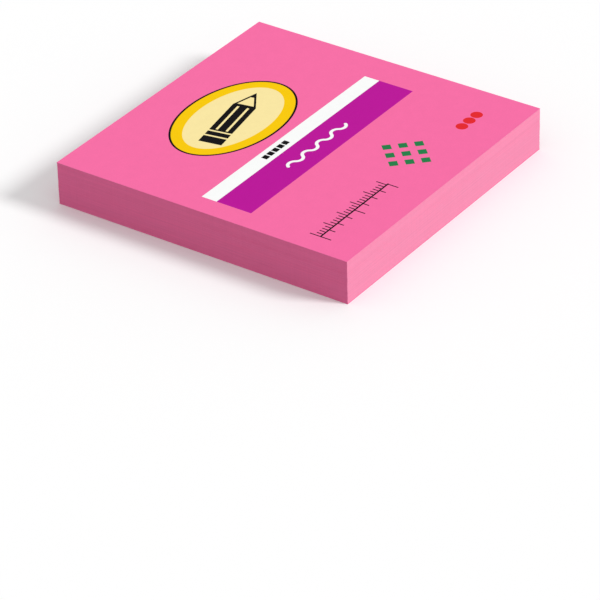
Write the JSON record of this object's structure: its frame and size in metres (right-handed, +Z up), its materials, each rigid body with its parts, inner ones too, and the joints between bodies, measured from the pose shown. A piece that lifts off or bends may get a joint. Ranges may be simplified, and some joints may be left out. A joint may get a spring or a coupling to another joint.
{
  "type": "sticky note pad",
  "caption": "Square pad of sticky notes glued along one edge, with a printed cover sheet on top and a backing sheet below.",
  "frame": {"origin": "centre of the pad's underside", "axes": "+X along the reading direction of the print on the cover, +Y towards the glued edge, +Z up out of the cover"},
  "size_m": [0.076, 0.076, 0.0104],
  "materials": {
    "pink_paper": "matte",
    "adhesive": "satin",
    "white_ink": "matte",
    "purple_ink": "matte",
    "yellow_ink": "matte",
    "pale_yellow_ink": "matte",
    "black_ink": "matte",
    "green_ink": "matte",
    "red_ink": "matte"
  },
  "bodies": {
    "root": {"backing_sheet": "pink_paper", "block_adhesive_strip": "adhesive", "note_block": "pink_paper", "cover_adhesive_strip": "adhesive", "cover_sheet": "pink_paper", "white_stripe": "white_ink", "stripe_squares": "black_ink", "purple_band": "purple_ink", "wavy_line": "white_ink", "badge_outline": "black_ink", "badge_rim": "yellow_ink", "badge_field": "pale_yellow_ink", "pencil_figure": "black_ink", "ruler_scale": "black_ink", "green_lozenge": "green_ink", "red_dots": "red_ink"}
  },
  "joints": []
}
